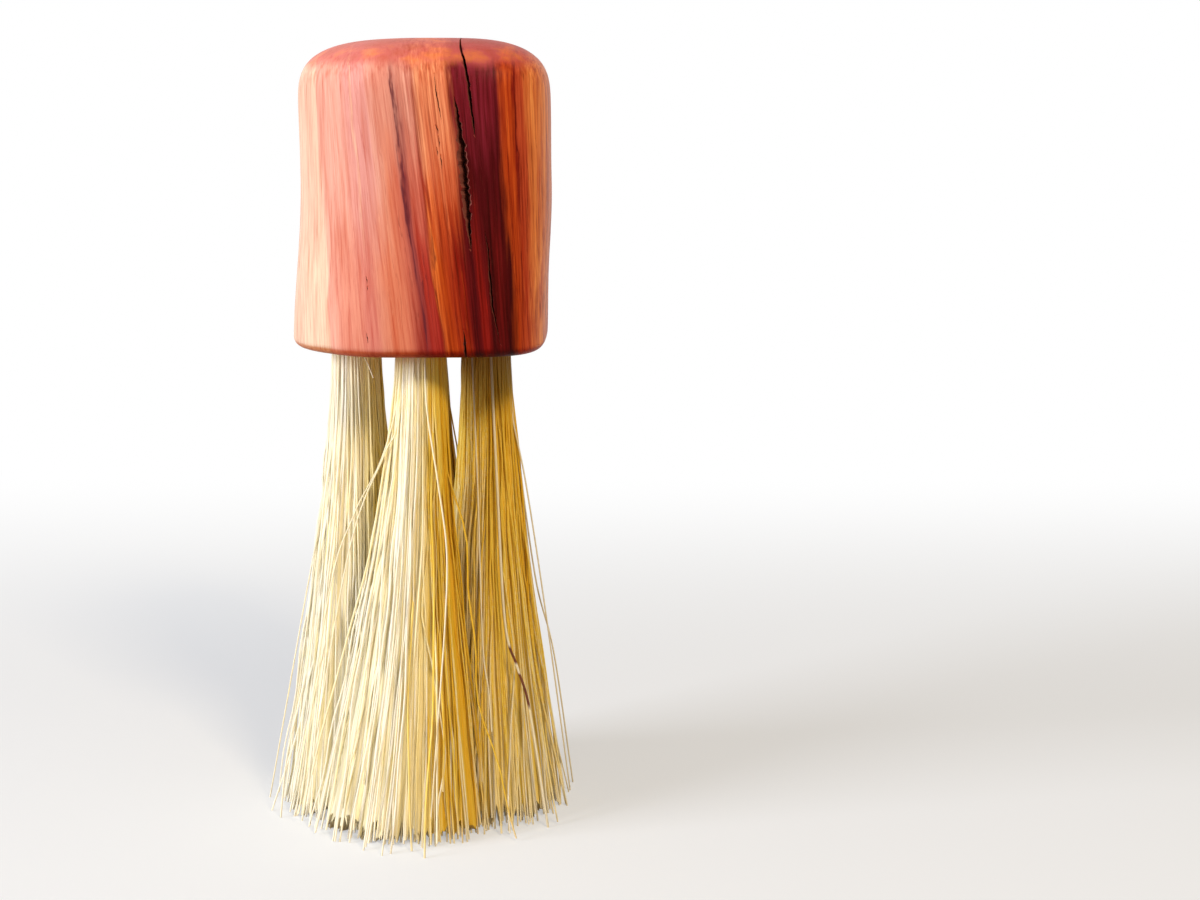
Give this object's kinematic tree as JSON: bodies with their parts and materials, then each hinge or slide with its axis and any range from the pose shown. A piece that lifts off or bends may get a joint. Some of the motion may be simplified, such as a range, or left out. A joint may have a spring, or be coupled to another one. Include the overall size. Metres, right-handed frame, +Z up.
{
  "type": "crumb brush",
  "caption": "Rounded hardwood hand block that holds flared bundles of natural fibre bristles, for sweeping crumbs off a table or a bread board.",
  "frame": {"origin": "on the surface that the bristle tips stand on, under the middle of the brush's bounding box", "axes": "+Z up through the bristles to the block, -Y towards the side that the picture shows, +X to the right of that side"},
  "size_m": [0.0721, 0.0653, 0.1816],
  "materials": {
    "wood": "oiled satin, red and orange striped heartwood with pale sapwood",
    "bristle": "dry plant fibre, cream to straw",
    "thread": "waxed twine",
    "glue": "cured glue"
  },
  "bodies": {
    "root": {"handle_block": "wood", "tuft_front": "bristle", "tuft_right": "bristle", "tuft_back": "bristle", "tuft_left": "bristle", "binding_front": "thread", "binding_right": "thread", "binding_back": "thread", "binding_left": "thread", "adhesive_front": "glue", "adhesive_right": "glue", "adhesive_back": "glue", "adhesive_left": "glue"}
  },
  "joints": []
}
